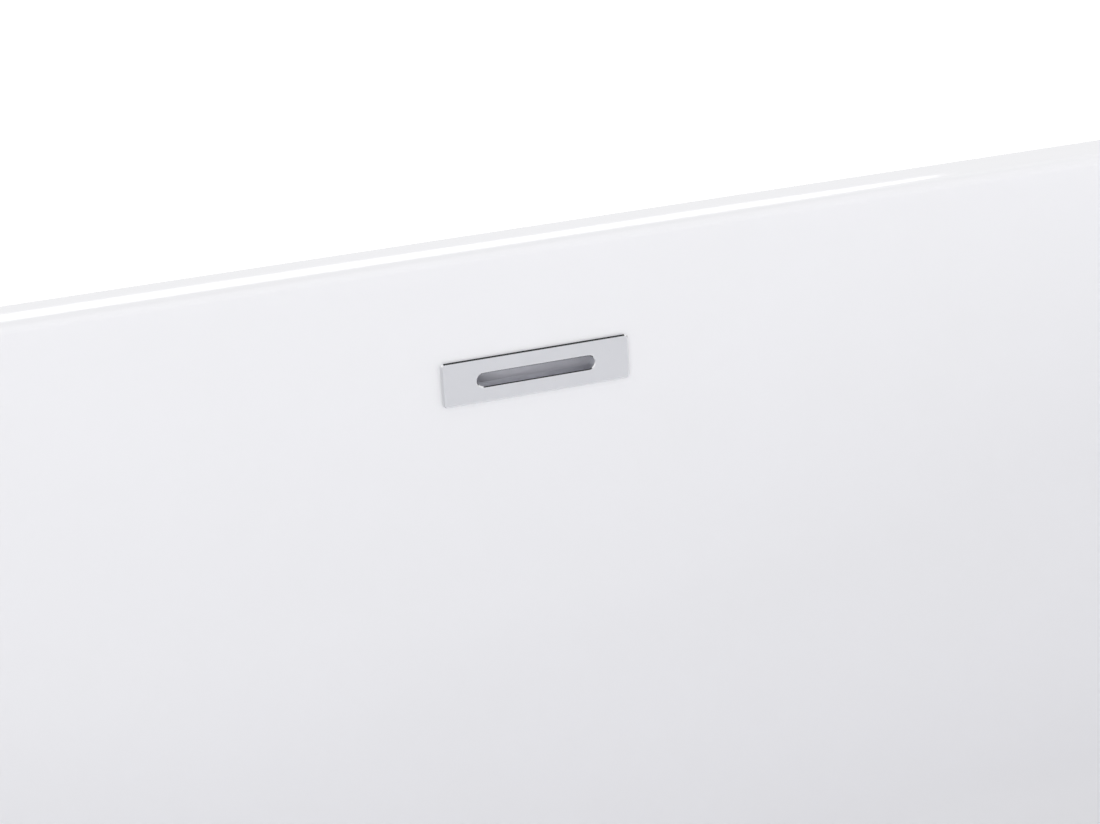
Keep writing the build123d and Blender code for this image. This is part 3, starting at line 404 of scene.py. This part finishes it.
# Chipboard pressed from wood chips: flakes of 3 to 8 mm in tan and brown, a matt dry
# face with small pits between the flakes.
chipboard, tree = new_material("chipboard_pressed")
place = add(tree, "TexCoord").outputs["Object"]
stir = add(tree, "TexNoise", {"Vector": place, "Scale": 1 / 0.006, "Detail": 2.0})
bent = add(tree, "VectorMath", {0: stir.outputs["Color"], "Scale": 0.004}, operation="SCALE")
shifted = add(tree, "VectorMath", {0: place, 1: bent.outputs["Vector"]}, operation="ADD")
flakes = add(tree, "TexVoronoi", {"Vector": shifted.outputs["Vector"], "Scale": 1 / 0.005})
shade = add(tree, "SeparateColor", {"Color": flakes.outputs["Color"]})
wood = add(tree, "ValToRGB", {"Fac": shade.outputs["Red"]})
wood.color_ramp.elements[0].color = colour("#a3835a")
wood.color_ramp.elements[1].color = colour("#d8c097")
wood.color_ramp.elements.new(0.5).color = colour("#c2a375")
pits = add(
    tree, "Bump", {"Height": flakes.outputs["Distance"], "Distance": 0.0004, "Strength": 0.6}
)
shader = add(
    tree,
    "BsdfPrincipled",
    {
        "Base Color": wood.outputs["Color"],
        "Roughness": 0.82,
        "IOR": 1.5,
        "Normal": pits.outputs["Normal"],
    },
)
add(tree, "OutputMaterial", {"Surface": shader.outputs["BSDF"]})
dress("base_board", chipboard)

# Stiffener: a planed softwood batten laminated into the pocket under the rim on the wall
# side. It keeps the long straight rim from sagging and takes the bracket screws.
# Planed spruce: pale yellow early wood with narrow brown rings about 3 mm apart that run
# the length of the batten, in a matt planed face.
spruce, tree = new_material("spruce_planed")
place = add(tree, "TexCoord").outputs["Object"]
along = add(tree, "Mapping", {"Vector": place, "Scale": (1.5, 1 / 0.02, 1 / 0.02)})
growth = add(tree, "TexNoise", {"Vector": along.outputs["Vector"], "Scale": 1.0, "Detail": 3.0})
years = add(tree, "Math", {0: growth.outputs["Fac"], 1: 14.0}, operation="MULTIPLY")
ring_line = add(tree, "Math", {0: years.outputs["Value"]}, operation="FRACT")
grain = add(tree, "ValToRGB", {"Fac": ring_line.outputs["Value"]})
grain.color_ramp.elements[0].color = colour("#e3c998")
grain.color_ramp.elements[1].color = colour("#bb8f58")
grain.color_ramp.elements[1].position = 0.92
fibre = add(tree, "Bump", {"Height": ring_line.outputs["Value"], "Distance": 0.0001})
shader = add(
    tree,
    "BsdfPrincipled",
    {
        "Base Color": grain.outputs["Color"],
        "Roughness": 0.66,
        "IOR": 1.5,
        "Normal": fibre.outputs["Normal"],
    },
)
add(tree, "OutputMaterial", {"Surface": shader.outputs["BSDF"]})
dress("rim_batten", spruce)

# Outer skirt: a second acrylic sheet, bent and drawn round the ends and the room side.
# It leans in towards its foot, stands 5 mm off the floor on a small inward flange, and
# turns in along the wall as two narrow returns, with an open back between them.
skirt_foot, skirt_lean, return_width, flange = 0.005, 0.060, 0.045, 0.025


def skirt_level(z, inset):
    """Open ring of the skirt at height z, from one return round the room side to the other."""
    share = (lip_low - z) / (lip_low - skirt_foot)
    lean_in = skirt_lean * share + inset
    plan = outline(
        half_length - lean_in,
        half_width - inset,
        lean_in - half_width,
        max(rim_wall_corner - inset, 0.001),
        rim_room_corner - lean_in,
    )
    edge = half_length - return_width - skirt_lean * share
    arc = corner_steps + 1
    kept_plan = plan[arc + side_steps - 1 :] + plan[:arc]
    points = [point.to_3d() + Vector((0, 0, z)) for point, _ in kept_plan]
    ends = [Vector((side * edge, half_width - inset, z)) for side in (-1, 1)]
    return [ends[0]] + points + [ends[1]]


soft = 0.0012
profile = [(skirt_foot, soft), (skirt_foot + soft / 3, soft / 3), (skirt_foot + soft, 0)]
heights = [skirt_foot + soft + (lip_low - skirt_foot - soft) * step / 12 for step in range(1, 13)]
profile += [(height, 0) for height in heights]
profile += [(height, sheet) for height in heights[::-1]]
profile += [(skirt_foot + sheet, sheet), (skirt_foot + sheet, sheet + flange)]
profile += [(skirt_foot, sheet + flange), profile[0]]
skirt = skin("skirt", [skirt_level(z, inset) for z, inset in profile], closed=False)
shape = bmesh.new()
shape.from_mesh(skirt.data)
bmesh.ops.remove_doubles(shape, verts=shape.verts, dist=1e-6)
bmesh.ops.holes_fill(shape, edges=[edge for edge in shape.edges if edge.is_boundary], sides=0)
shape.to_mesh(skirt.data)
shape.free()
tidy(skirt)
skirt.data.materials.append(acrylic)
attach(skirt, "tub")
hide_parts("outer_skirt")

# Rails and brackets: square tubes across the bath under the board, angles from their
# front ends up the inside of the skirt, and brackets that hook the rim to the wall.
# They are cut and bent from hot-dip galvanised steel.
# Hot-dip galvanised steel: a soft grey metal gloss with crystals of zinc 8 to 12 mm
# across that differ a little in tone and roughness.
galvanised, tree = new_material("steel_hot_dip_galvanised")
place = add(tree, "TexCoord").outputs["Object"]
crystals = add(tree, "TexVoronoi", {"Vector": place, "Scale": 1 / 0.01})
tone = add(tree, "SeparateColor", {"Color": crystals.outputs["Color"]})
zinc = add(
    tree,
    "Mix",
    {"Factor": tone.outputs["Red"], 6: colour("#b2b7bb"), 7: colour("#cacdd0")},
    data_type="RGBA",
)
dull = add(tree, "MapRange", {"Value": tone.outputs["Green"], "To Min": 0.3, "To Max": 0.46})
shader = add(
    tree,
    "BsdfPrincipled",
    {"Base Color": zinc.outputs[2], "Metallic": 1.0, "Roughness": dull.outputs["Result"]},
)
add(tree, "OutputMaterial", {"Surface": shader.outputs["BSDF"]})
for node in (
    "cross_rail_left",
    "cross_rail_right",
    "skirt_bracket_left",
    "skirt_bracket_right",
    "wall_bracket_left",
    "wall_bracket_right",
):
    dress(node, galvanised)

# Screws, bolts, nuts and the feet's threaded studs: cold-formed steel, threads rolled,
# plated with zinc in a barrel.
# Bright zinc plate: a blue-white metal gloss, slightly clouded from the barrel in
# patches about 4 mm wide.
zinc_plate, tree = new_material("steel_bright_zinc_plated")
place = add(tree, "TexCoord").outputs["Object"]
cloud = add(tree, "TexNoise", {"Vector": place, "Scale": 1 / 0.004, "Detail": 3.0})
bright = add(
    tree,
    "Mix",
    {"Factor": cloud.outputs["Fac"], 6: colour("#bcc3ca"), 7: colour("#d2d4d3")},
    data_type="RGBA",
)
clouded = add(tree, "MapRange", {"Value": cloud.outputs["Fac"], "To Min": 0.2, "To Max": 0.38})
shader = add(
    tree,
    "BsdfPrincipled",
    {"Base Color": bright.outputs[2], "Metallic": 1.0, "Roughness": clouded.outputs["Result"]},
)
add(tree, "OutputMaterial", {"Surface": shader.outputs["BSDF"]})
corners = ("front_left", "front_right", "rear_left", "rear_right")
for node in (
    "board_screws",
    "weld_nuts",
    "lock_nuts",
    "skirt_bracket_bolts",
    "wall_bracket_screws",
):
    dress(node, zinc_plate)
for corner in corners:
    dress("foot_stud_" + corner, zinc_plate)

# Pads and rail caps: black polypropylene, injection moulded. The pads snap on the studs'
# round ends and the caps push into the rails.
# Moulded polypropylene, black: a dull satin skin with a fine spark-eroded grain. The
# grain is 0.3 mm and is drawn 1 mm wide to show.
black_plastic, tree = new_material("polypropylene_moulded_black")
place = add(tree, "TexCoord").outputs["Object"]
grit = add(tree, "TexNoise", {"Vector": place, "Scale": 1 / 0.001, "Detail": 2.0})
bloom = add(tree, "TexNoise", {"Vector": place, "Scale": 1 / 0.02, "Detail": 3.0})
black = add(
    tree,
    "Mix",
    {"Factor": bloom.outputs["Fac"], 6: colour("#1a1b1d"), 7: colour("#26272a")},
    data_type="RGBA",
)
grained = add(tree, "Bump", {"Height": grit.outputs["Fac"], "Distance": 0.0001})
shader = add(
    tree,
    "BsdfPrincipled",
    {
        "Base Color": black.outputs[2],
        "Roughness": 0.48,
        "IOR": 1.49,
        "Normal": grained.outputs["Normal"],
    },
)
add(tree, "OutputMaterial", {"Surface": shader.outputs["BSDF"]})
dress("rail_end_caps", black_plastic)
for corner in corners:
    dress("foot_pad_" + corner, black_plastic)

# Overflow cover: a cast brass plate with a slot, a collar that reaches through the wall
# and two studs behind, ground flat, polished and chrome plated. The waste's flange and
# the plug's cap are finished the same way.
# Chrome plate on polished brass: a mirror with a cold tint. Wiping leaves faint clouds
# that only the roughness shows.
chrome, tree = new_material("brass_chrome_plated")
place = add(tree, "TexCoord").outputs["Object"]
wiped = add(tree, "TexNoise", {"Vector": place, "Scale": 1 / 0.015, "Detail": 4.0})
haze = add(tree, "MapRange", {"Value": wiped.outputs["Fac"], "To Min": 0.02, "To Max": 0.06})
plating = add(
    tree,
    "Mix",
    {"Factor": wiped.outputs["Fac"], 6: colour("#edeef0"), 7: colour("#f1f2f3")},
    data_type="RGBA",
)
shader = add(
    tree,
    "BsdfPrincipled",
    {"Base Color": plating.outputs[2], "Metallic": 1.0, "Roughness": haze.outputs["Result"]},
)
add(tree, "OutputMaterial", {"Surface": shader.outputs["BSDF"]})
for node in ("overflow_cover", "waste_flange", "plug_cap"):
    dress(node, chrome)

# Seals and gaskets of the overflow, waste and trap, and the collar on the overflow pipe:
# stamped or moulded from black rubber.
# Moulded EPDM rubber: a soft matt black with a dusty bloom in patches about 8 mm wide.
rubber, tree = new_material("epdm_rubber_moulded")
place = add(tree, "TexCoord").outputs["Object"]
dust = add(tree, "TexNoise", {"Vector": place, "Scale": 1 / 0.008, "Detail": 4.0})
soot = add(
    tree,
    "Mix",
    {"Factor": dust.outputs["Fac"], 6: colour("#151617"), 7: colour("#2a2b2c")},
    data_type="RGBA",
)
shader = add(
    tree,
    "BsdfPrincipled",
    {"Base Color": soot.outputs[2], "Roughness": 0.74, "IOR": 1.52},
)
add(tree, "OutputMaterial", {"Surface": shader.outputs["BSDF"]})
for node in (
    "overflow_cover_seal",
    "overflow_body_gasket",
    "overflow_pipe_collar",
    "overflow_pipe_seal",
    "waste_flange_gasket",
    "waste_body_gasket",
    "plug_seal",
    "trap_inlet_seal",
    "trap_cap_seal",
    "trap_outlet_seal",
):
    dress(node, rubber)

# Overflow pipe, waste body, trap, its nuts and the outlet: white polypropylene, injection
# moulded, but for the overflow pipe and outlet pipe, which are extruded.
# Moulded polypropylene, white: a waxy half gloss with a slight cream cast and soft flow
# marks about 20 mm wide.
white_plastic, tree = new_material("polypropylene_moulded_white")
place = add(tree, "TexCoord").outputs["Object"]
flow = add(tree, "TexNoise", {"Vector": place, "Scale": 1 / 0.02, "Detail": 3.0})
waxy = add(
    tree,
    "Mix",
    {"Factor": flow.outputs["Fac"], 6: colour("#e4e3dd"), 7: colour("#ecebe7")},
    data_type="RGBA",
)
marks = add(tree, "MapRange", {"Value": flow.outputs["Fac"], "To Min": 0.26, "To Max": 0.4})
shader = add(
    tree,
    "BsdfPrincipled",
    {"Base Color": waxy.outputs[2], "Roughness": marks.outputs["Result"], "IOR": 1.49},
)
add(tree, "OutputMaterial", {"Surface": shader.outputs["BSDF"]})
for node in (
    "overflow_pipe",
    "waste_body",
    "trap_bowl",
    "outlet_bend",
    "outlet_pipe",
    "overflow_pipe_nut",
    "trap_inlet_nut",
    "trap_cleaning_cap",
    "trap_outlet_nut",
    "outlet_coupling",
):
    dress(node, white_plastic)

# Overflow body: a flat box moulded from a whiter, cooler plastic than the pipes, as its
# inside shows through the cover's slot.
# Moulded ABS, cool white: an even half gloss with faint shrinkage swirls 30 mm wide.
cool_white, tree = new_material("abs_moulded_cool_white")
place = add(tree, "TexCoord").outputs["Object"]
swirl = add(tree, "TexNoise", {"Vector": place, "Scale": 1 / 0.03, "Detail": 2.0})
cool = add(
    tree,
    "Mix",
    {"Factor": swirl.outputs["Fac"], 6: colour("#f0f0f8"), 7: colour("#f6f6fc")},
    data_type="RGBA",
)
gloss = add(tree, "MapRange", {"Value": swirl.outputs["Fac"], "To Min": 0.3, "To Max": 0.42})
shader = add(
    tree,
    "BsdfPrincipled",
    {"Base Color": cool.outputs[2], "Roughness": gloss.outputs["Result"], "IOR": 1.53},
)
add(tree, "OutputMaterial", {"Surface": shader.outputs["BSDF"]})
dress("overflow_body", cool_white)

# Click parts: the sleeve pressed into the flange's spider, the ring that closes it, the
# plug's stem with its piston, and the nuts on the overflow's studs. All are turned from
# brass rod.
# Turned brass, unplated: a warm yellow metal with fine turning marks and a few browner
# patches where it has been handled.
brass, tree = new_material("brass_turned")
place = add(tree, "TexCoord").outputs["Object"]
worn = add(tree, "TexNoise", {"Vector": place, "Scale": 1 / 0.006, "Detail": 4.0})
yellow = add(
    tree,
    "Mix",
    {"Factor": worn.outputs["Fac"], 6: colour("#b8935a"), 7: colour("#d8ba7a")},
    data_type="RGBA",
)
tool_marks = add(tree, "MapRange", {"Value": worn.outputs["Fac"], "To Min": 0.2, "To Max": 0.36})
shader = add(
    tree,
    "BsdfPrincipled",
    {"Base Color": yellow.outputs[2], "Metallic": 1.0, "Roughness": tool_marks.outputs["Result"]},
)
add(tree, "OutputMaterial", {"Surface": shader.outputs["BSDF"]})
for node in ("overflow_stud_nuts", "click_cartridge", "click_collar", "plug_stem"):
    dress(node, brass)

# Click spring: hard-drawn stainless wire, coiled cold. It stands in the sleeve under the
# stem's piston and pushes the plug up.
# Drawn stainless wire: a grey metal gloss with a light drawing haze about 2 mm long.
spring_steel, tree = new_material("stainless_wire_drawn")
place = add(tree, "TexCoord").outputs["Object"]
drawn = add(tree, "TexNoise", {"Vector": place, "Scale": 1 / 0.002, "Detail": 2.0})
wire = add(
    tree,
    "Mix",
    {"Factor": drawn.outputs["Fac"], 6: colour("#a4a6a8"), 7: colour("#bcbdbe")},
    data_type="RGBA",
)
shader = add(
    tree,
    "BsdfPrincipled",
    {"Base Color": wire.outputs[2], "Metallic": 1.0, "Roughness": 0.3},
)
add(tree, "OutputMaterial", {"Surface": shader.outputs["BSDF"]})
dress("click_spring", spring_steel)

# Studio: a pale floor that turns pure white to the camera and to reflections where
# nothing shades it, and a white surround with a dark panel straight overhead, which only
# polished edges pick up as a thin dark line.
reach, floor_low, floor_high = 9, -0.02, -0.0003
floor_corners = [(-reach, -reach), (reach, -reach), (reach, reach), (-reach, reach)]
floor = prism("floor", floor_corners, Matrix.Identity(4), floor_low, floor_high)
paper, tree = new_material("matt_white_floor")
place = add(tree, "TexCoord").outputs["Object"]
fleck = add(tree, "TexNoise", {"Vector": place, "Scale": 2.0, "Detail": 2.0})
white = add(
    tree,
    "Mix",
    {"Factor": fleck.outputs["Fac"], 6: colour("#cacacb"), 7: colour("#cecece")},
    data_type="RGBA",
)
matt = add(tree, "BsdfDiffuse", {"Color": white.outputs[2]})
ray = add(tree, "LightPath")
seen = add(
    tree,
    "Math",
    {0: ray.outputs["Is Camera Ray"], 1: ray.outputs["Is Glossy Ray"]},
    operation="MAXIMUM",
)
lift = add(tree, "Math", {0: seen.outputs["Value"], 1: 0.56}, operation="MULTIPLY")
glow = add(tree, "Emission", {"Strength": lift.outputs["Value"]})
lifted = add(tree, "AddShader", {0: matt.outputs["BSDF"], 1: glow.outputs["Emission"]})
add(tree, "OutputMaterial", {"Surface": lifted.outputs["Shader"]})
floor.data.materials.append(paper)

world = bpy.data.worlds.new("white_studio")
bpy.context.scene.world = world
world.use_nodes = True
tree = world.node_tree
tree.nodes.clear()
ray = add(tree, "LightPath")
seen = add(
    tree,
    "Math",
    {0: ray.outputs["Is Camera Ray"], 1: ray.outputs["Is Glossy Ray"]},
    operation="MAXIMUM",
)
room_light = add(
    tree, "MapRange", {"Value": seen.outputs["Value"], "To Min": 0.71, "To Max": 1.0}
)
way_up = add(tree, "SeparateXYZ", {"Vector": add(tree, "TexCoord").outputs["Generated"]})
panel = add(
    tree,
    "MapRange",
    {"Value": way_up.outputs["Z"], "From Min": 0.86, "From Max": 0.92, "To Max": 0.95},
)
mirrored = add(
    tree,
    "Math",
    {0: panel.outputs["Result"], 1: ray.outputs["Is Glossy Ray"]},
    operation="MULTIPLY",
)
kept = add(tree, "Math", {0: 1.0, 1: mirrored.outputs["Value"]}, operation="SUBTRACT")
strength = add(
    tree, "Math", {0: room_light.outputs["Result"], 1: kept.outputs["Value"]}, operation="MULTIPLY"
)
sky = add(tree, "Background", {"Color": (1, 1, 1, 1), "Strength": strength.outputs["Value"]})
add(tree, "OutputWorld", {"Surface": sky.outputs["Background"]})


def softbox(name, place, aim, wide, high, power):
    """A large lamp at place, turned to aim."""
    lamp = bpy.data.lights.new(name, "AREA")
    lamp.shape, lamp.size, lamp.size_y, lamp.energy = "RECTANGLE", wide, high, power
    piece = bpy.data.objects.new(name, lamp)
    piece.location = place
    piece.rotation_euler = (Vector(aim) - Vector(place)).to_track_quat("-Z", "Y").to_euler()
    bpy.context.scene.collection.objects.link(piece)


softbox("key", (-2.4, -3.2, 2.6), (0, 0, 0.4), 2.6, 2.2, 64)
softbox("back", (0.6, 3.2, 3.2), (0, 0, 0.4), 2.6, 2.0, 36)
softbox("window", (3.2, -2.2, 0.98), (0, 0, 0.55), 2.2, 0.8, 24)

# Camera: stands 1.2 m up at the room side, left of the overflow, and looks down at it
camera_data = bpy.data.cameras.new("camera")
camera_data.lens, camera_data.sensor_width = 87.67, 36
camera_data.clip_start = 0.05
camera = bpy.data.objects.new("camera", camera_data)
camera.location = (-0.38378, -0.76337, 1.17382)
camera.rotation_euler = (radians(60.135), 0, radians(-19.143))
bpy.context.scene.collection.objects.link(camera)
bpy.context.scene.camera = camera
bpy.context.scene.view_settings.view_transform = "Standard"
